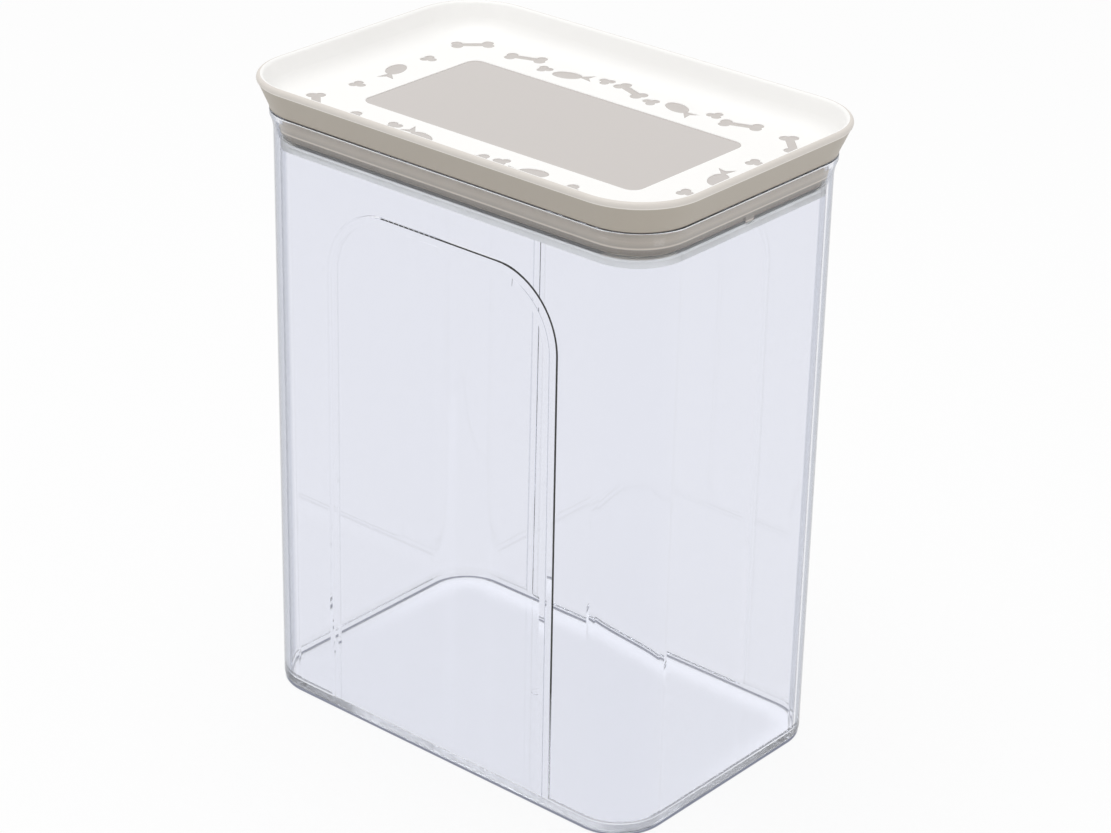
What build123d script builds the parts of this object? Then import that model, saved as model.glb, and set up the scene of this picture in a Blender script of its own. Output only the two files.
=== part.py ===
from build123d import *
import os
from math import asin, atan2, cos, hypot, pi, radians, sin, tan

# Pet food storage jar of about five litres: a clear moulded jar with a taupe plug lid.
# Millimetres. The origin is the middle of the foot, +Z is up, and the long sides face -Y and
# +Y. There are four pieces: jar_body, lid_body, lid_print_foil and seal_ring.
# Every wall is a section that runs round the jar's outline. A section is drawn with two
# measures: out, which is how far a point stands outside the jar's outline at the foot, and
# z, its height.

# Jar, outside sizes at the foot
jar_length = 191.2
jar_width = 122.8
jar_corner = 21.1
jar_height = 245.0
jar_lean = 0.1            # degrees that each wall leans outwards
wall = 2.3
base_thickness = 2.8
foot_round = 2.6          # outside, at the foot
base_round = 3.2          # inside, where the wall meets the base

# Rim of the jar
rim_reach = 1.4           # how far the rim stands out from the wall
rim_band = 2.0            # height of its upright band
rim_flare = 7.0           # height of the flare under the band
rim_round = 0.6

# Shallow arched panel in both long sides, open at the foot. The step in the wall's inner side
# stands further out than the step in its outer side, so the wall is thickest between them.
panel_width = 108.7       # outer step, at the top of the arch
panel_gap = 29.0          # rim down to the outer step
panel_corner = 27.1
panel_draft = 0.16        # degrees that each side of the arch opens towards the foot
panel_depth = 0.7
panel_slope = 3.6         # width of the sloping border round the panel
edge_width = 0.6          # steep edge of the outer step
edge_depth = 0.3
lap = 2.9                 # the inner step stands this far outside the outer step
lap_width = 1.1           # steep edge of the inner step
lap_depth = 0.4

# Round mark opposite the gate, in the middle of the base
gate_mark = 4.6           # across
gate_rise = 0.3

# Lid, outside
seat_gap = 0.3            # underside of the lid to the jar's rim
lid_height = 13.1         # underside to crest
lid_reach = 6.05          # widest line of the lid beyond the jar's wall
crest_round = 1.5
skirt_step = 0.2          # the crest stands this much proud of the skirt
skirt_band = 1.0          # upright foot of the skirt
skirt_round = 0.4
tray_depth = 11.4         # crest down to the printed floor
tray_round = 9.0
tray_floor = 2.1
foil = 0.25

# Plug under the lid
plug_clearance = 1.1      # collar to the jar's inner wall
plug_wall = 2.6
collar_height = 8.3
neck_height = 3.6         # the neck carries the seal
neck_inset = 1.4
flange_reach = 0.6        # flange at the foot of the neck, which holds the seal on
flange_height = 0.8
lug_width = 4.6           # lug in the middle of each short side, which places the seal
lug_reach = 1.25          # out from the neck

# Seal
seal_clearance = 0.3      # lip to the jar's inner wall
seal_thickness = 1.3
seal_grip = 1.6           # height held above the neck's foot
seal_band = 0.6           # upright band at the top of the seal
seal_drop = 2.7           # the lip hangs this far below the neck
lip_thickness = 0.8
lip_length = 1.6          # free height of the lip
lug_clearance = 0.2

# Print: a bare window with a border of treats round it
window_length = 133.8
window_width = 64.4
window_corner = 5.0
border = 13.0             # window edge to the middle line of the treats
border_sway = 1.4         # the treats swing this much to both sides of that line
treat_pitch = 26.5
treat_tilt = 20.0         # degrees
treat_length = 17.0
treat_width = 7.6
bone_knob = 2.35          # radius
bone_waist = 3.5
fish_body = 12.2          # length without the tail
fish_tail = 7.0           # width of the tail
tail_notch = 1.9
crumb_lobe = 1.9          # radius
crumb_spread = 1.7        # lobes from the middle

# Joins and cuts
seam = 2.0                # rings run this far past a rounding before a plate takes over
bite = 0.5                # joined solids run this far into each other
overcut = 1.0             # cuts run this far past a surface

up = Vector(0, 0, 1)


def wall_out(z):
    """How far the jar's outer wall stands outside the foot outline at height z."""
    return z * tan(radians(jar_lean))


def polar(centre, radius, angle):
    """Point at that distance and angle, in radians, from a centre."""
    return (centre[0] + radius * cos(angle), centre[1] + radius * sin(angle))


def run(points):
    """Straight edges from point to point."""
    return [Line(a, b) for a, b in zip(points, points[1:])]


def bend(start, end, turn):
    """Round edge whose direction turns by that many degrees, left turns positive."""
    a, b = Vector(start), Vector(end)
    chord = b - a
    bulge = tan(radians(turn) / 4) / 2
    middle = (a + b) * 0.5 + Vector(chord.Y, -chord.X) * bulge
    return ThreePointArc(a, middle, b)


def outline(out=0.0):
    """The jar's outline at the foot, grown by out."""
    return RectangleRounded(jar_length + 2 * out, jar_width + 2 * out, jar_corner + out)


def run_round(edges):
    """Solid ring: the section between the edges, taken once round the jar's outline."""
    path = outline().face().outer_wire()
    start = path @ 0
    across = (path % 0).cross(up)
    if across.dot(start) < 0:
        across = -across
    place = Plane(origin=start, x_dir=across, z_dir=across.cross(up))
    return sweep(place * make_face(edges), path=path)


def plate(out, low, high):
    """Flat plate with the jar's outline grown by out."""
    return extrude(Pos(0, 0, low) * outline(out), high - low)


# Jar body

base_seam = -(wall + base_round + seam)    # where the ring ends and the base plate begins
rim_out = wall_out(jar_height) + rim_reach
flare_low = jar_height - rim_band - rim_flare
panel_top = jar_height - panel_gap


def jar_section():
    """Wall of the jar from the base up to the rim."""
    band_low = (rim_out, jar_height - rim_band)
    flare_foot = (wall_out(flare_low), flare_low)
    flare_turn = 2 * atan2(band_low[0] - flare_foot[0], rim_flare) * 180 / pi
    foot_high = (wall_out(foot_round), foot_round)
    band_high = (rim_out, jar_height - rim_round)
    rim_outer = (rim_out - rim_round, jar_height)
    inner_top = wall_out(jar_height) - wall
    rim_inner = (inner_top + rim_round, jar_height)
    inner_high = (inner_top, jar_height - rim_round)
    inner_low = (wall_out(base_thickness) - wall, base_thickness + base_round)
    base_edge = (inner_low[0] - base_round, base_thickness)
    edges = run([(base_seam, base_thickness), (base_seam, 0), (-foot_round, 0)])
    edges.append(bend((-foot_round, 0), foot_high, 90))
    edges += run([foot_high, flare_foot])
    edges.append(bend(flare_foot, band_low, -flare_turn))
    edges += run([band_low, band_high])
    edges.append(bend(band_high, rim_outer, 90))
    edges += run([rim_outer, rim_inner])
    edges.append(bend(rim_inner, inner_high, 90))
    edges += run([inner_high, inner_low])
    edges.append(bend(inner_low, base_edge, -90))
    edges += run([base_edge, (base_seam, base_thickness)])
    return edges


def arch(depth, margin, foot):
    """Arch on a plane that leans with the wall, that deep in it. It is smaller than the outer
    step by a margin and reaches down to foot."""
    top = panel_top - margin
    half_top = panel_width / 2 - margin
    half_foot = half_top + (top - foot) * tan(radians(panel_draft))
    corners = [(-half_foot, foot), (half_foot, foot), (half_top, top), (-half_top, top)]
    shape = make_face(Polyline(*corners, close=True))
    shape = fillet(shape.vertices().group_by(Axis.Y)[-1], panel_corner - margin)
    lean = radians(jar_lean)
    wall_plane = Plane(
        origin=(0, depth - jar_width / 2, 0), x_dir=(1, 0, 0), z_dir=(0, -cos(lean), -sin(lean))
    )
    return wall_plane * shape


def panel_block(side, past, foot, grown, edge):
    """Block with a steep edge and a sloping border, for one long side. It starts at the side
    of the wall that lies that deep, runs past it, and is grown beyond the outer step."""
    width, depth = edge
    deep = arch(side + panel_depth, panel_slope - grown, foot)
    middle = arch(side + depth, width - grown, foot)
    shallow = arch(side - past, -past * width / depth - grown, foot)
    return loft([deep, middle, shallow], ruled=True)


def both_sides(block):
    """The block and its mirror image on the other long side."""
    return [block, mirror(block, Plane.XZ)]


def make_jar():
    body = run_round(jar_section()) + plate(base_seam, 0, base_thickness)
    recess = panel_block(0, overcut, -overcut, 0, (edge_width, edge_depth))
    pad = panel_block(wall, bite, base_thickness - bite, lap, (lap_width, lap_depth))
    gate = Pos(0, 0, base_thickness - bite) * extrude(Circle(gate_mark / 2), bite + gate_rise)
    return body + both_sides(pad) + gate - both_sides(recess)


# Lid body

seat = jar_height + seat_gap
crest = seat + lid_height
lid_line = wall_out(jar_height)            # the jar's outer wall at the rim
print_floor = crest - tray_depth
crest_centre = (lid_line + lid_reach - crest_round, crest - crest_round)
skirt_foot = (rim_out, seat + skirt_band)
skirt_rise = (crest_centre[0] - skirt_foot[0], crest_centre[1] - skirt_foot[1])
skirt_lean = atan2(*skirt_rise) + asin((crest_round - skirt_step) / hypot(*skirt_rise))
collar_out = lid_line - wall - plug_clearance
plug_inner = collar_out - plug_wall
collar_low = seat - collar_height
neck_out = collar_out - neck_inset
neck_low = collar_low - neck_height
flange_out = neck_out + flange_reach
tray_under = print_floor - foil - tray_floor


def tray_round_centre():
    """Middle of the rounding between the tray's floor and its sloping wall."""
    reach = crest_round + tray_round
    height = print_floor + tray_round
    along = (height - crest_centre[1] - reach * sin(skirt_lean)) / cos(skirt_lean)
    return (crest_centre[0] - reach * cos(skirt_lean) + along * sin(skirt_lean), height)


# Where the lid's ring ends and the floor plate begins
tray_seam = min(tray_round_centre()[0], plug_inner) - seam


def tray_surface(below):
    """Edges of the tray from the crest down to the floor, that far below the print."""
    lean = pi - skirt_lean
    wall_turn = 90 - skirt_lean * 180 / pi
    centre = tray_round_centre()
    top = polar(crest_centre, crest_round - below, pi / 2)
    wall_high = polar(crest_centre, crest_round - below, lean)
    wall_low = polar(centre, tray_round + below, -skirt_lean)
    floor_edge = (centre[0], print_floor - below)
    floor_seam = (tray_seam, print_floor - below)
    edges = [bend(top, wall_high, wall_turn)]
    edges += run([wall_high, wall_low])
    edges.append(bend(wall_low, floor_edge, -wall_turn))
    edges += run([floor_edge, floor_seam])
    return edges, top, floor_seam


def lid_section():
    """Skirt, crest, tray wall, underside and plug of the lid."""
    skirt_low = (rim_out, seat + skirt_round)
    skirt_seat = (rim_out - skirt_round, seat)
    skirt_high = polar(crest_centre, crest_round - skirt_step, -skirt_lean)
    crest_low = polar(crest_centre, crest_round, -skirt_lean)
    crest_high = polar(crest_centre, crest_round, pi / 2)
    tray, tray_start, tray_end = tray_surface(foil)
    edges = [bend(skirt_seat, skirt_low, 90)]
    edges += run([skirt_low, skirt_foot, skirt_high, crest_low])
    edges.append(bend(crest_low, crest_high, 90 + skirt_lean * 180 / pi))
    edges += run([crest_high, tray_start])
    edges += tray
    edges += run([
        tray_end,
        (tray_seam, tray_under),
        (plug_inner, tray_under),
        (plug_inner, neck_low),
        (flange_out, neck_low),
        (flange_out, neck_low + flange_height),
        (neck_out, neck_low + flange_height),
        (neck_out, collar_low),
        (collar_out, collar_low),
        (collar_out, seat),
        skirt_seat,
    ])
    return edges


def lugs(clearance=0.0):
    """Blocks for the seal's lugs, in the middle of the short sides."""
    inner = jar_length / 2 + neck_out - bite
    outer = jar_length / 2 + neck_out + lug_reach + clearance
    low = neck_low - clearance
    size = (outer - inner, lug_width + 2 * clearance, collar_low + bite - low)
    block = Pos((inner + outer) / 2, 0, low + size[2] / 2) * Box(*size)
    return [block, mirror(block, Plane.YZ)]


def make_lid():
    ring = run_round(lid_section())
    return ring + plate(tray_seam, tray_under, print_floor - foil) + lugs()


# Printed foil

def bone():
    """Biscuit in the shape of a bone."""
    knob_x = treat_length / 2 - bone_knob
    knob_y = treat_width / 2 - bone_knob
    ends = [Pos(x, y) * Circle(bone_knob) for x in (-knob_x, knob_x) for y in (-knob_y, knob_y)]
    return Rectangle(2 * knob_x, bone_waist) + ends


def fish():
    """Biscuit in the shape of a fish."""
    body = Pos((fish_body - treat_length) / 2, 0) * Ellipse(fish_body / 2, treat_width / 2)
    tail_end = treat_length / 2
    tail = make_face(run([
        (fish_body - treat_length / 2 - tail_notch, 0),
        (tail_end, -fish_tail / 2),
        (tail_end - tail_notch, 0),
        (tail_end, fish_tail / 2),
        (fish_body - treat_length / 2 - tail_notch, 0),
    ]))
    return body + tail


def crumb():
    """Three-lobed piece of dry food."""
    lobes = [Rot(0, 0, 120 * k) * Pos(crumb_spread, 0) * Circle(crumb_lobe) for k in range(3)]
    return Circle(crumb_spread) + lobes


def treats():
    """Bones and fish by turns round the window, with crumbs between them."""
    line_x = window_length / 2 + border
    line_y = window_width / 2 + border
    count = int(window_length / treat_pitch)
    shapes = []
    for side in (-1, 1):
        for k in range(count):
            x = (k - (count - 1) / 2) * treat_pitch
            sway = border_sway * (-1) ** k
            tilt = side * treat_tilt * (-1) ** (k // 2) + 90 * (1 - side)
            treat = fish() if k % 2 else bone()
            shapes.append(Pos(x, side * (line_y + sway)) * Rot(0, 0, tilt) * treat)
            if k:
                between = Pos(x - treat_pitch / 2, side * (line_y + 2 * sway))
                shapes.append(between * Rot(0, 0, treat_tilt * k) * crumb())
        shapes.append(Pos(side * line_x, 0) * Rot(0, 0, 90 * side + treat_tilt) * fish())
        for end in (-1, 1):
            corner = Pos(side * (line_x - border_sway), end * (line_y - border_sway))
            shapes.append(corner * Rot(0, 0, -45 * side * end) * bone())
            shapes.append(Pos(side * line_x, end * treat_pitch * 0.75) * crumb())
    return shapes


def make_foil():
    over, over_start, over_end = tray_surface(0)
    under, under_start, under_end = tray_surface(foil)
    edges = over + run([over_end, under_end]) + under + run([under_start, over_start])
    sheet = run_round(edges) + plate(tray_seam, print_floor - foil, print_floor)
    window = RectangleRounded(window_length, window_width, window_corner)
    low = Pos(0, 0, print_floor - foil - overcut)
    cuts = [extrude(low * shape, foil + 2 * overcut) for shape in [window] + treats()]
    return sheet - cuts


# Seal ring

def make_seal():
    """Ring that hugs the plug's neck, with a lip that reaches for the jar's wall."""
    top = neck_low + seal_grip
    low = neck_low - seal_drop
    lip_out = wall_out(low) - wall - seal_clearance
    lip_inner = lip_out - lip_thickness
    back = neck_out + seal_thickness
    ring = run_round(run([
        (neck_out, top),
        (neck_out, neck_low + flange_height),
        (flange_out, neck_low + flange_height),
        (flange_out, neck_low),
        (lip_inner, low + lip_length),
        (lip_inner, low),
        (lip_out, low + lip_thickness / 2),
        (lip_out, neck_low),
        (back, top - seal_band),
        (back, top),
        (neck_out, top),
    ]))
    return ring - lugs(lug_clearance)


pieces = {
    "jar_body": make_jar(),
    "lid_body": make_lid(),
    "lid_print_foil": make_foil(),
    "seal_ring": make_seal(),
}

os.makedirs("parts", exist_ok=True)
for name, piece in pieces.items():
    export_step(piece, f"parts/{name}.step")
    box = piece.bounding_box()
    print(name, len(piece.solids()), "solid,", round(piece.volume), "mm3,", box.size)
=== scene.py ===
import bpy
import bmesh
from math import cos, pi, radians, sin
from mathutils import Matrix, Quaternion, Vector


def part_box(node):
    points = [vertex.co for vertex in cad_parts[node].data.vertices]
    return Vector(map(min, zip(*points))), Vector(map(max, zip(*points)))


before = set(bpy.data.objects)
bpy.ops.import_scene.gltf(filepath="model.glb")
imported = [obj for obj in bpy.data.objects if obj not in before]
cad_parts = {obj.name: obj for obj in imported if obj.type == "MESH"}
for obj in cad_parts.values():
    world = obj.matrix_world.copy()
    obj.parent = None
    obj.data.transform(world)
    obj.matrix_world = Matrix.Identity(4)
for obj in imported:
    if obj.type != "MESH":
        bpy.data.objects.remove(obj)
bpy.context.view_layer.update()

# %% [markdown]
# # A clear storage jar with a plug lid
# The real object has four moulded pieces: a clear jar, a taupe lid, a white printed foil in
# the lid's tray and a soft clear seal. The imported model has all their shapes, down to the thin
# foil, so no mesh is added. This lesson looks at how each piece is finished, and how a clear
# object is shown against white.

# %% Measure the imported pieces
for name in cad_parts:
    low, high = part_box(name)
    size = [round((high[i] - low[i]) * 1000, 1) for i in range(3)]
    print(name, "size in mm", size, "foot at", round(low.z * 1000, 2))

# %% [markdown]
# Colours are chosen as sRGB hex values, as a paint chart gives them, and shaders want linear
# light, so one function turns them. One more function adds a node with its settings, its links
# and, on a colour ramp, its stops. Patterns are drawn on Object coordinates, which are metres
# here, so a pattern of so many millimetres has a scale of 1000 divided by that size.

# %% Helpers for colours and nodes
def linear(code, alpha=1.0):
    """Linear colour of a hex code such as #AAB0C0."""
    parts = [int(code[i:i + 2], 16) / 255 for i in (1, 3, 5)]
    light = [c / 12.92 if c <= 0.04045 else ((c + 0.055) / 1.055) ** 2.4 for c in parts]
    return (*light, alpha)


def per_mm(size):
    """Texture scale of a pattern whose repeat is that many millimetres."""
    return 1000 / size


def new_tree(owner):
    """Empties the node tree of a material or world and returns it."""
    owner.use_nodes = True
    owner.node_tree.nodes.clear()
    return owner.node_tree


def add(tree, kind, inputs=None, stops=(), **settings):
    """Adds a node. inputs gives sockets a value, or the output of another node. stops gives a
    colour ramp its places and hex colours, in order."""
    node = tree.nodes.new(kind)
    for name, value in settings.items():
        setattr(node, name, value)
    for socket, value in (inputs or {}).items():
        if isinstance(value, bpy.types.NodeSocket):
            tree.links.new(value, node.inputs[socket])
        else:
            node.inputs[socket].default_value = value
    if stops:
        marks = node.color_ramp.elements
        marks.remove(marks[1])
        marks[0].position, marks[0].color = stops[0][0], linear(stops[0][1])
        for spot, shade in stops[1:]:
            marks.new(spot).color = linear(shade)
    return node


print("Mid grey in linear light:", round(linear("#808080")[0], 3))

# %% [markdown]
# The camera stands to the right of a long side and looks down at the lid. Its place was found
# by matching the edges of the jar, and it is written as a direction, a distance and a long
# lens. The small roll follows the picture.

# %% Camera
view_yaw = radians(40.23)
view_pitch = radians(25.85)
view_roll = radians(1.27)
view_distance = 1.188077
view_centre = Vector((0.040354, -0.041179, 0.153804))
lens_mm, sensor_mm = 104.92, 36.0

back = Vector((sin(view_yaw) * cos(view_pitch), -cos(view_yaw) * cos(view_pitch),
               sin(view_pitch)))
camera = bpy.data.objects.new("camera", bpy.data.cameras.new("camera"))
bpy.context.scene.collection.objects.link(camera)
camera.rotation_mode = "QUATERNION"
camera.rotation_quaternion = Quaternion(back, view_roll) @ (-back).to_track_quat("-Z", "Y")
camera.location = view_centre + back * view_distance
camera.data.lens, camera.data.sensor_width = lens_mm, sensor_mm
bpy.context.scene.camera = camera
print("Camera height in m:", round(camera.location.z, 3))

# %% [markdown]
# A clear object is mostly a picture of what stands round it, so this one stands in a white
# studio. Camera, glossy and transmitted rays see a plain white, and the light that falls on
# surfaces is softer, so that the whites of the object keep their shading. Light that is caught
# in a clear wall turns back many times before it leaves, so Cycles is given room for that many
# bounces. With fewer, the edges of the base turn black.

# %% White studio
caught_bounces, glossy_bounces, through_bounces = 60, 40, 24
world_light = 0.66           # how bright the world is where it lights surfaces


def seen_rays(tree):
    """1 for camera, glossy and transmitted rays, and 0 for the rays that light surfaces."""
    path = add(tree, "ShaderNodeLightPath")
    first = add(tree, "ShaderNodeMath", operation="ADD",
                inputs={0: path.outputs["Is Camera Ray"], 1: path.outputs["Is Glossy Ray"]})
    return add(tree, "ShaderNodeMath", operation="ADD", use_clamp=True,
               inputs={0: first.outputs[0], 1: path.outputs["Is Transmission Ray"]}).outputs[0]


def make_world():
    world = bpy.data.worlds.new("white_studio")
    tree = new_tree(world)
    lit = add(tree, "ShaderNodeBackground", {"Color": linear("#FFFFFF"), "Strength": world_light})
    seen = add(tree, "ShaderNodeBackground", {"Color": linear("#FFFFFF"), "Strength": 1.0})
    mix = add(tree, "ShaderNodeMixShader", {0: seen_rays(tree), 1: lit.outputs[0],
                                            2: seen.outputs[0]})
    add(tree, "ShaderNodeOutputWorld", {"Surface": mix.outputs[0]})
    return world


scene = bpy.context.scene
scene.view_settings.view_transform = "Standard"
scene.cycles.max_bounces = caught_bounces
scene.cycles.glossy_bounces = glossy_bounces
scene.cycles.transmission_bounces = through_bounces
scene.world = make_world()
print("World:", scene.world.name, "with light", world_light)

# %% [markdown]
# Where the jar meets the sheet that it stands on, and where its inner corner starts, depend on
# how far a point is from the edge of the jar's footprint. The footprint is a rectangle with
# round corners, so the distance is that to a smaller rectangle, less the corner's radius.

# %% Distance from the jar's footprint
foot_zone = 0.003            # the foot is measured on the points lower than this
foot_corner = 0.0211         # radius of the footprint's corners
jar_foot = [v.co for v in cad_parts["jar_body"].data.vertices if v.co.z < foot_zone]
foot_x, foot_y = max(v.x for v in jar_foot), max(v.y for v in jar_foot)


def edge_distance(tree):
    """How far a point lies outside the jar's footprint, in metres."""
    place = add(tree, "ShaderNodeTexCoord").outputs["Object"]
    inner = (foot_x - foot_corner, foot_y - foot_corner, 1.0)
    side = add(tree, "ShaderNodeVectorMath", {0: place}, operation="ABSOLUTE")
    past = add(tree, "ShaderNodeVectorMath", {0: side.outputs[0], 1: inner}, operation="SUBTRACT")
    corner = add(tree, "ShaderNodeVectorMath", {0: past.outputs[0], 1: (0, 0, 0)},
                 operation="MAXIMUM")
    reach = add(tree, "ShaderNodeVectorMath", {0: corner.outputs[0]}, operation="LENGTH")
    return add(tree, "ShaderNodeMath", operation="SUBTRACT",
               inputs={0: reach.outputs["Value"], 1: foot_corner}).outputs[0]


print("Footprint in mm:", round(foot_x * 2000, 1), "by", round(foot_y * 2000, 1))

# %% [markdown]
# Two things show on the sheet in the photograph: a thin dark line of shadow under the jar's
# rounded heel, and a pale band under the back of the base, which is probably light that the walls
# gather and throw down. The jar's shader lets shadow and diffuse rays through, so path tracing
# can give neither of them. Both are painted on the sheet instead, the shadow line as a colour
# and the band of light as a little more strength, with widths and shades matched to that one
# picture.

# %% Painted shadow line and painted light under the jar
contact_from, contact_to = -0.003, 0.0005       # the ramp of the contact line covers this
# the painted contact shadow: white, dark under the heel, then white again
contact_shadow_shades = ((0.25, "#FFFFFF"), (0.36, "#7E8294"), (0.62, "#6A6E80"), (0.78, "#FFFFFF"))
# the pale band under the back of the base is painted light
gather_from, gather_to = -0.017, -0.006         # the pale band comes up between these
gather_start = -0.02         # it starts at this place along Y and is full at the back edge
gathered_light = 0.26        # how much brighter it is at most


def painted_contact_shadow(tree, outside):
    """White, with a painted contact shadow as a dark line under the heel."""
    near = add(tree, "ShaderNodeMapRange", {"Value": outside, "From Min": contact_from,
                                            "From Max": contact_to})
    return add(tree, "ShaderNodeValToRGB", {0: near.outputs[0]}, contact_shadow_shades).outputs[0]


def gathered_strength(tree, outside):
    """1, and more in a band of painted light under the back of the base."""
    place = add(tree, "ShaderNodeTexCoord").outputs["Object"]
    depth = add(tree, "ShaderNodeSeparateXYZ", {0: place}).outputs["Y"]
    to_back = add(tree, "ShaderNodeMapRange", {"Value": depth, "From Min": gather_start,
                                               "From Max": foot_y})
    band = add(tree, "ShaderNodeMapRange", {"Value": outside, "From Min": gather_from,
                                            "From Max": gather_to},
               interpolation_type="SMOOTHSTEP")
    under = add(tree, "ShaderNodeMath", {0: outside, 1: contact_from}, operation="LESS_THAN")
    banded = add(tree, "ShaderNodeMath", {0: band.outputs[0], 1: under.outputs[0]},
                 operation="MULTIPLY")
    gathered = add(tree, "ShaderNodeMath", {0: banded.outputs[0], 1: to_back.outputs[0]},
                   operation="MULTIPLY")
    return add(tree, "ShaderNodeMath", {0: gathered.outputs[0], 1: gathered_light, 2: 1.0},
               operation="MULTIPLY_ADD").outputs[0]


print("Contact line in mm outside the footprint:", contact_from * 1000, "to", contact_to * 1000)

# %% [markdown]
# The sheet is matt paper. The rays that light surfaces meet plain diffuse paper, and the
# camera sees some of that too, with the object's soft shadow. Most of what the camera sees is a
# plain white glow, which gives a white background with no more light on the object. The sheet
# lies a hair lower than the jar's foot, because two faces in one plane would flicker.

# %% Sheet of paper
floor_size = 12.0
floor_drop = 0.0002
floor_colour = "#F6F6F6"
floor_glow = 0.88            # share of the glow in what is seen


def make_paper():
    material = bpy.data.materials.new("paper_sweep")
    tree = new_tree(material)
    outside = edge_distance(tree)
    paper = add(tree, "ShaderNodeBsdfDiffuse", {"Color": linear(floor_colour)})
    # the glow's colour holds the painted contact shadow, and its strength the painted band of
    # light
    glow = add(tree, "ShaderNodeEmission", {"Color": painted_contact_shadow(tree, outside),
                                            "Strength": gathered_strength(tree, outside)})
    share = add(tree, "ShaderNodeMath", {0: seen_rays(tree), 1: floor_glow},
                operation="MULTIPLY")
    mix = add(tree, "ShaderNodeMixShader", {0: share.outputs[0], 1: paper.outputs[0],
                                            2: glow.outputs[0]})
    add(tree, "ShaderNodeOutputMaterial", {"Surface": mix.outputs[0]})
    return material


def make_floor():
    bm = bmesh.new()
    bmesh.ops.create_grid(bm, x_segments=1, y_segments=1, size=floor_size / 2)
    mesh = bpy.data.meshes.new("floor")
    bm.to_mesh(mesh)
    bm.free()
    mesh.materials.append(make_paper())
    sheet = bpy.data.objects.new("floor", mesh)
    sheet.location.z = -floor_drop
    bpy.context.scene.collection.objects.link(sheet)
    return sheet


floor = make_floor()
print("Floor", floor_size, "m wide")

# %% [markdown]
# Three soft boxes shape the pieces: one above, one by the right short side, and a weaker one
# by the long side. The one above stands a little to the left and to the front, because the
# lid's tray has sloping sides, and each then gets about the same light. A lamp's power is
# worked out from the radiance that its face should have.

# %% Lamps
def soft_box(name, place, towards, width, height, radiance):
    """Rectangular lamp that faces a point. Its face shines with that radiance."""
    lamp = bpy.data.lights.new(name, "AREA")
    lamp.shape = "RECTANGLE"
    lamp.size, lamp.size_y = width, height
    lamp.energy = radiance * pi * width * height
    obj = bpy.data.objects.new(name, lamp)
    obj.location = place
    obj.rotation_mode = "QUATERNION"
    aim = Vector(towards) - Vector(place)
    obj.rotation_quaternion = aim.to_track_quat("-Z", "Y")
    bpy.context.scene.collection.objects.link(obj)
    return obj


jar_middle = (0, 0, 0.13)
lamps = [
    soft_box("soft_box_above", (-0.2, -0.08, 1.9), jar_middle, 1.4, 1.4, 2.15),
    soft_box("soft_box_right", (1.8, -0.2, 0.55), jar_middle, 0.7, 1.4, 1.25),
    soft_box("soft_box_front", (-0.7, -1.9, 0.8), jar_middle, 0.6, 1.2, 1.0),
]
print("Lamp powers in W:", [round(lamp.data.energy, 1) for lamp in lamps])

# %% [markdown]
# Clear jar: styrene-acrylonitrile, injection moulded in a polished tool, which gives it the
# sharp gloss of glass. A plain glass shader would do for most of it, but the upright edges
# would vanish in a room that is white all round. A rounded corner bends the light that passes
# it far to the side, where a real room is dark, so those edges look dark against white. Here
# that darkness is painted shade in the plastic's colour, which falls with Layer Weight. Only a
# rounded corner has a normal with both an X and a Y part, so their product keeps the flat walls
# and the base free of it.

# %% Painted dark edges of the rounded corners
corner_from, corner_to = 0.03, 0.22             # the normal's X times its Y
# clear face on, then painted shade towards the grazing edge of a corner
edge_darkness_shades = ((0.47, "#F1F2F7"), (0.61, "#A2A8B7"), (0.88, "#555964"))


def painted_edge_darkness(tree):
    """Colour of the clear plastic, with painted shade where a rounded corner turns away."""
    turn = add(tree, "ShaderNodeTexCoord").outputs["Normal"]
    normal = add(tree, "ShaderNodeSeparateXYZ", {0: turn})
    both = add(tree, "ShaderNodeMath", {0: normal.outputs["X"], 1: normal.outputs["Y"]},
               operation="MULTIPLY")
    turned = add(tree, "ShaderNodeMath", {0: both.outputs[0]}, operation="ABSOLUTE")
    rounded = add(tree, "ShaderNodeMapRange", {"Value": turned.outputs[0],
                                               "From Min": corner_from, "From Max": corner_to})
    facing = add(tree, "ShaderNodeLayerWeight", {"Blend": 0.5}).outputs["Facing"]
    grazing = add(tree, "ShaderNodeMath", {0: facing, 1: rounded.outputs[0]},
                  operation="MULTIPLY")
    return add(tree, "ShaderNodeValToRGB", {0: grazing.outputs[0]}, edge_darkness_shades).outputs[0]


print("Corner colours:", [shade for spot, shade in edge_darkness_shades])

# %% [markdown]
# The walls are polished, so their roughness is nothing. The underside is taken to be spark
# eroded, as on most such jars, and the corner where wall and base meet to be less polished than
# the walls, because a mould's core is hard to reach there. Neither can be seen in the
# photograph, and both values are chosen to soften the lines seen through the base.

# %% Roughness of the base
eroded_from, eroded_to = 0.0002, 0.0004         # the underside ends between these heights
eroded_roughness = 0.06
wall_depth = 0.0024          # just more than the wall's thickness
base_top = 0.00283           # just above the inner floor
corner_top = 0.0062          # where the inner rounding meets the wall
core_roughness = 0.14


def base_roughness(tree, height):
    """Nothing on the walls, and a little under the base and in its inner corner."""
    eroded = add(tree, "ShaderNodeMapRange", {
        "Value": height, "From Min": eroded_from, "From Max": eroded_to,
        "To Min": eroded_roughness, "To Max": 0.0})
    inside = add(tree, "ShaderNodeMath", {0: edge_distance(tree), 1: -wall_depth},
                 operation="LESS_THAN")
    corner = add(tree, "ShaderNodeMath", {
        0: height, 1: (base_top + corner_top) / 2, 2: (corner_top - base_top) / 2},
        operation="COMPARE")
    core = add(tree, "ShaderNodeMath", {0: inside.outputs[0], 1: corner.outputs[0]},
               operation="MULTIPLY")
    return add(tree, "ShaderNodeMath", {0: core.outputs[0], 1: core_roughness,
                                        2: eroded.outputs[0]},
               operation="MULTIPLY_ADD").outputs[0]


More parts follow.
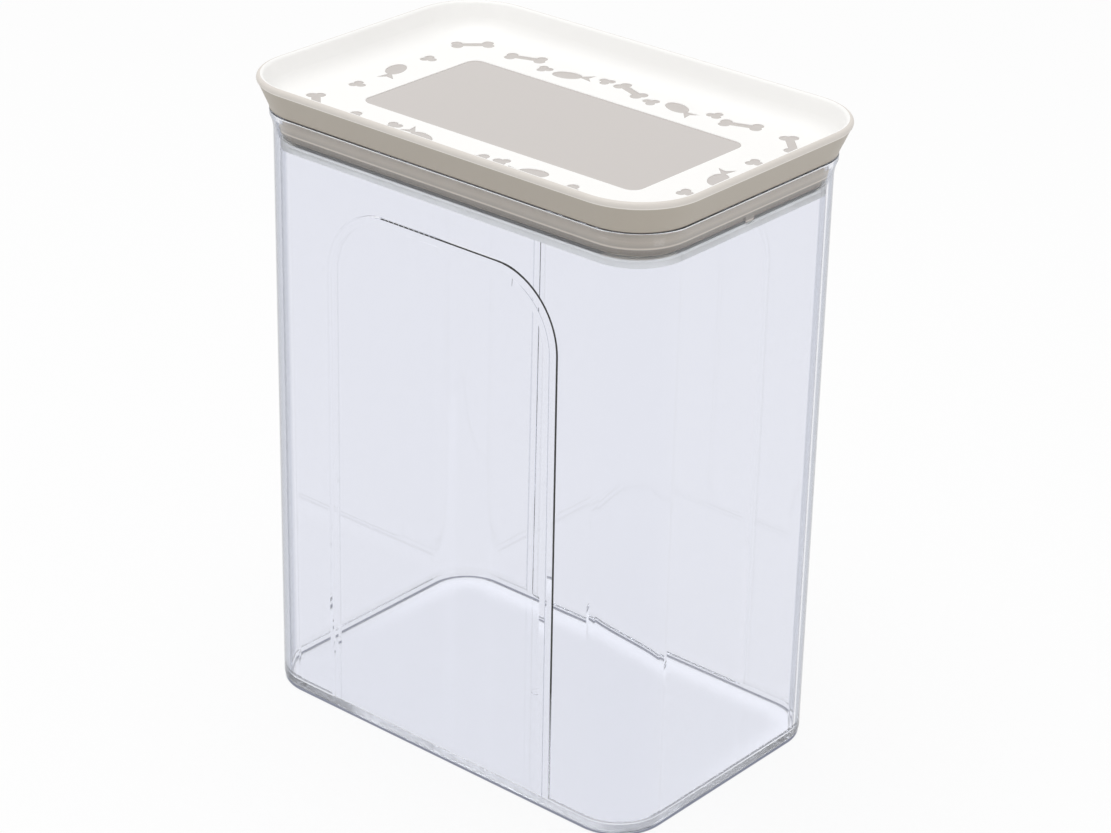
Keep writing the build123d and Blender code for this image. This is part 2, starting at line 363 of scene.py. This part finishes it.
print("Inner corner in mm:", round(base_top * 1000, 2), "to", round(corner_top * 1000, 2))

# %% [markdown]
# The plastic has a faint cold tint that builds up with depth, so the tint is a volume. Shadow
# and diffuse rays pass as if the jar were thin air, a usual way to keep a clear object from
# casting a black shadow. Where the base touches the sheet, part of the light that would be
# turned back inside passes straight on too, in a share matched to the picture. There is no
# bump on the walls: the smallest one lets caught light leak out, and the dark line down the
# arched panel disappears.

# %% Clear plastic of the jar
touch_from, touch_to = 0.00005, 0.0001          # the touching face is lower than this
touch_share = 0.07


def passing_share(tree, height):
    """Share of the light that passes as if there were no jar."""
    path = add(tree, "ShaderNodeLightPath")
    unseen = add(tree, "ShaderNodeMath", operation="ADD", use_clamp=True,
                 inputs={0: path.outputs["Is Shadow Ray"], 1: path.outputs["Is Diffuse Ray"]})
    touch = add(tree, "ShaderNodeMapRange", {
        "Value": height, "From Min": touch_from, "From Max": touch_to, "To Min": touch_share,
        "To Max": 0.0})
    return add(tree, "ShaderNodeMath", operation="ADD", use_clamp=True,
               inputs={0: unseen.outputs[0], 1: touch.outputs[0]}).outputs[0]


def make_clear():
    material = bpy.data.materials.new("clear_san_polished")
    tree = new_tree(material)
    place = add(tree, "ShaderNodeTexCoord").outputs["Object"]
    height = add(tree, "ShaderNodeSeparateXYZ", {0: place}).outputs["Z"]
    # the base colour holds the painted shade of the corners' dark edges
    plastic = add(tree, "ShaderNodeBsdfPrincipled", {
        "Base Color": painted_edge_darkness(tree), "Transmission Weight": 1.0, "IOR": 1.57,
        "Roughness": base_roughness(tree, height)})
    free = add(tree, "ShaderNodeBsdfTransparent", {"Color": linear("#F4F6FA")})
    mix = add(tree, "ShaderNodeMixShader", {0: passing_share(tree, height),
                                            1: plastic.outputs[0], 2: free.outputs[0]})
    depth = add(tree, "ShaderNodeVolumeAbsorption", {"Color": linear("#C8D0DE"), "Density": 3.0})
    add(tree, "ShaderNodeOutputMaterial", {"Surface": mix.outputs[0],
                                           "Volume": depth.outputs[0]})
    return material


clear_plastic = make_clear()
print(clear_plastic.name, "has", len(clear_plastic.node_tree.nodes), "nodes")

# %% [markdown]
# Lid: taupe polypropylene. Its crest is painted paler than its skirt, partly as the foil
# wrapping over the crest and partly as painted light on its upward face. The thin bright line
# between them is a painted highlight on a bead of plastic that swells past the foil's edge. The
# bead could be a piece of its own, but it would be thinner than a sheet of paper, so it is a
# colour by height.

# %% Skirt and crest, with painted light and highlight
lid_low, lid_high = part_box("lid_body")
# the pale crest, partly painted light, and its painted highlight line end here
crease = lid_high.z - 0.0026         # the foil wraps round the crest and ends here
crest_from = crease - 0.0004         # the ramp of the crest starts here
# taupe skirt, the painted highlight line on the bead, then the crest with painted light
crest_light_shades = ((0.12, "#AFA79B"), (0.17, "#EFEBE5"), (0.40, "#D9D3CC"))


def skirt_with_painted_crest(tree, height):
    """Taupe skirt, then a painted highlight on the bead, and a crest made paler partly by painted
    light.
    """
    up_the_crest = add(tree, "ShaderNodeMapRange", {
        "Value": height, "From Min": crest_from, "From Max": lid_high.z})
    return add(tree, "ShaderNodeValToRGB", {0: up_the_crest.outputs[0]}, crest_light_shades).outputs[0]


print("Foil ends", round((lid_high.z - crease) * 1000, 2), "mm below the crest")

# %% [markdown]
# The plug is seen through the jar's flared wall, in bands of light and shade: a pale foot, a
# darker groove with its edge, the lighter wall above it, and the dark gap under the skirt. The
# flare probably bends light into them. They are painted as colours by height, matched to the
# picture, so they stay when the lid is lifted, where a real plug may well be plain taupe.

# %% Bands of the plug
plug_shades = (                      # height above the plug's foot in mm, and the colour there
    (0.0, "#F4E6D2"), (1.5, "#E9DBC7"), (1.9, "#9A8D7B"), (4.4, "#988C7B"),
    (4.7, "#E6D8C2"), (5.2, "#DFD1BB"), (5.5, "#B7AA96"), (8.0, "#CEBFA8"),
    (11.0, "#B7AA96"), (11.5, "#6A645E"), (12.4, "#4E4A47"),
)
plug_height = plug_shades[-1][0]
skirt_foot = lid_low.z + plug_height / 1000     # the plug is lower than this


def plug_colour(tree, height):
    """Colour of the plug by height."""
    up_the_plug = add(tree, "ShaderNodeMapRange", {
        "Value": height, "From Min": lid_low.z, "From Max": skirt_foot})
    stops = [(level / plug_height, shade) for level, shade in plug_shades]
    return add(tree, "ShaderNodeValToRGB", {0: up_the_plug.outputs[0]}, stops).outputs[0]


print("Plug", plug_height, "mm high, in", len(plug_shades), "colours")

# %% [markdown]
# The window and the cut treats look greyer and glossier than the skirt, so the tray's floor is
# taken to have a clear film under the foil. The film is glossy, and its paler grey colour is
# partly painted reflection of the white studio. Only faces that look up get it. The rest of the
# lid comes from an eroded mould, which gives the eye a satin sheen. Such a grain is about a
# tenth of a millimetre, too fine to show, so it is drawn 0.8 mm wide.

# %% Taupe plastic of the lid
tray_level = lid_high.z - 0.006      # the printed floor is lower than this
# paler grey of the film, partly painted reflection
film_and_painted_haze = "#C3BDB9"
satin_roughness, film_roughness = 0.42, 0.12


def make_taupe():
    material = bpy.data.materials.new("polypropylene_satin_taupe")
    tree = new_tree(material)
    spot = add(tree, "ShaderNodeTexCoord")
    place = spot.outputs["Object"]
    height = add(tree, "ShaderNodeSeparateXYZ", {0: place}).outputs["Z"]
    tilt = add(tree, "ShaderNodeSeparateXYZ", {0: spot.outputs["Normal"]}).outputs["Z"]
    low = add(tree, "ShaderNodeMath", {0: height, 1: tray_level}, operation="LESS_THAN")
    film = add(tree, "ShaderNodeMath", {0: low.outputs[0], 1: tilt}, operation="MULTIPLY",
               use_clamp=True)
    plug = add(tree, "ShaderNodeMath", {0: height, 1: skirt_foot}, operation="LESS_THAN")
    # the outer colour holds the painted light and highlight of the crest, and the painted bands
    # of the plug
    outer = add(tree, "ShaderNodeMix", data_type="RGBA", inputs={
        "Factor": plug.outputs[0], 6: skirt_with_painted_crest(tree, height), 7: plug_colour(tree, height)})
    # faces that look up get the film's colour, partly painted reflection
    colour = add(tree, "ShaderNodeMix", data_type="RGBA", inputs={
        "Factor": film.outputs[0], 6: outer.outputs[2], 7: linear(film_and_painted_haze)})
    gloss = add(tree, "ShaderNodeMapRange", {
        "Value": film.outputs[0], "To Min": satin_roughness, "To Max": film_roughness})
    grain = add(tree, "ShaderNodeTexNoise", {"Vector": place, "Scale": per_mm(0.8),
                                             "Detail": 2.0})
    bump = add(tree, "ShaderNodeBump", {"Height": grain.outputs[0], "Strength": 0.2,
                                        "Distance": 0.00003})
    plastic = add(tree, "ShaderNodeBsdfPrincipled", {
        "Base Color": colour.outputs[2], "Roughness": gloss.outputs[0], "IOR": 1.49,
        "Normal": bump.outputs[0]})
    add(tree, "ShaderNodeOutputMaterial", {"Surface": plastic.outputs[0]})
    return material


taupe_plastic = make_taupe()
print(taupe_plastic.name, "has", len(taupe_plastic.node_tree.nodes), "nodes")

# %% [markdown]
# Print: a white foil laid in the mould, with its border of treats cut out of it, so that the
# film under it shows. Moulded foil is smooth but not flat: its skin has shallow waves a few
# millimetres long, which break up reflections.

# %% White foil
def make_print():
    material = bpy.data.materials.new("printed_foil_white")
    tree = new_tree(material)
    place = add(tree, "ShaderNodeTexCoord").outputs["Object"]
    skin = add(tree, "ShaderNodeTexNoise", {"Vector": place, "Scale": per_mm(2.5),
                                            "Detail": 1.0})
    bump = add(tree, "ShaderNodeBump", {"Height": skin.outputs[0], "Strength": 0.1,
                                        "Distance": 0.00003})
    ink = add(tree, "ShaderNodeBsdfPrincipled", {
        "Base Color": linear("#F6F5F3"), "Roughness": 0.42, "IOR": 1.46,
        "Normal": bump.outputs[0]})
    add(tree, "ShaderNodeOutputMaterial", {"Surface": ink.outputs[0]})
    return material


white_foil = make_print()
print(white_foil.name, "has", len(white_foil.node_tree.nodes), "nodes")

# %% [markdown]
# Seal: translucent silicone rubber, pressed in a mould. Nearly all light passes through so thin
# a lip, so transmission is high and a small rest is plain colour. The soft sheen of rubber is a
# roughness between gloss and matt, and dust and wear leave faint cloudy patches in it.

# %% Silicone of the seal
def make_silicone():
    material = bpy.data.materials.new("silicone_translucent")
    tree = new_tree(material)
    place = add(tree, "ShaderNodeTexCoord").outputs["Object"]
    cloud = add(tree, "ShaderNodeTexNoise", {"Vector": place, "Scale": per_mm(9.0),
                                             "Detail": 3.0})
    sheen = add(tree, "ShaderNodeMapRange", {"Value": cloud.outputs[0], "From Min": 0.3,
                                             "From Max": 0.7, "To Min": 0.32, "To Max": 0.46})
    rubber = add(tree, "ShaderNodeBsdfPrincipled", {
        "Base Color": linear("#FBFCF8"), "Roughness": sheen.outputs[0], "IOR": 1.41,
        "Transmission Weight": 0.92})
    add(tree, "ShaderNodeOutputMaterial", {"Surface": rubber.outputs[0]})
    return material


silicone = make_silicone()
print(silicone.name, "has", len(silicone.node_tree.nodes), "nodes")

# %% [markdown]
# Each imported piece has one material slot, and its finish goes in there. The meshes and their
# places stay as they are.

# %% Give each imported piece its finish
finishes = {
    "jar_body": clear_plastic,
    "lid_body": taupe_plastic,
    "lid_print_foil": white_foil,
    "seal_ring": silicone,
}
for name, material in finishes.items():
    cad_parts[name].material_slots[0].material = material
    print(name, "is", material.name)
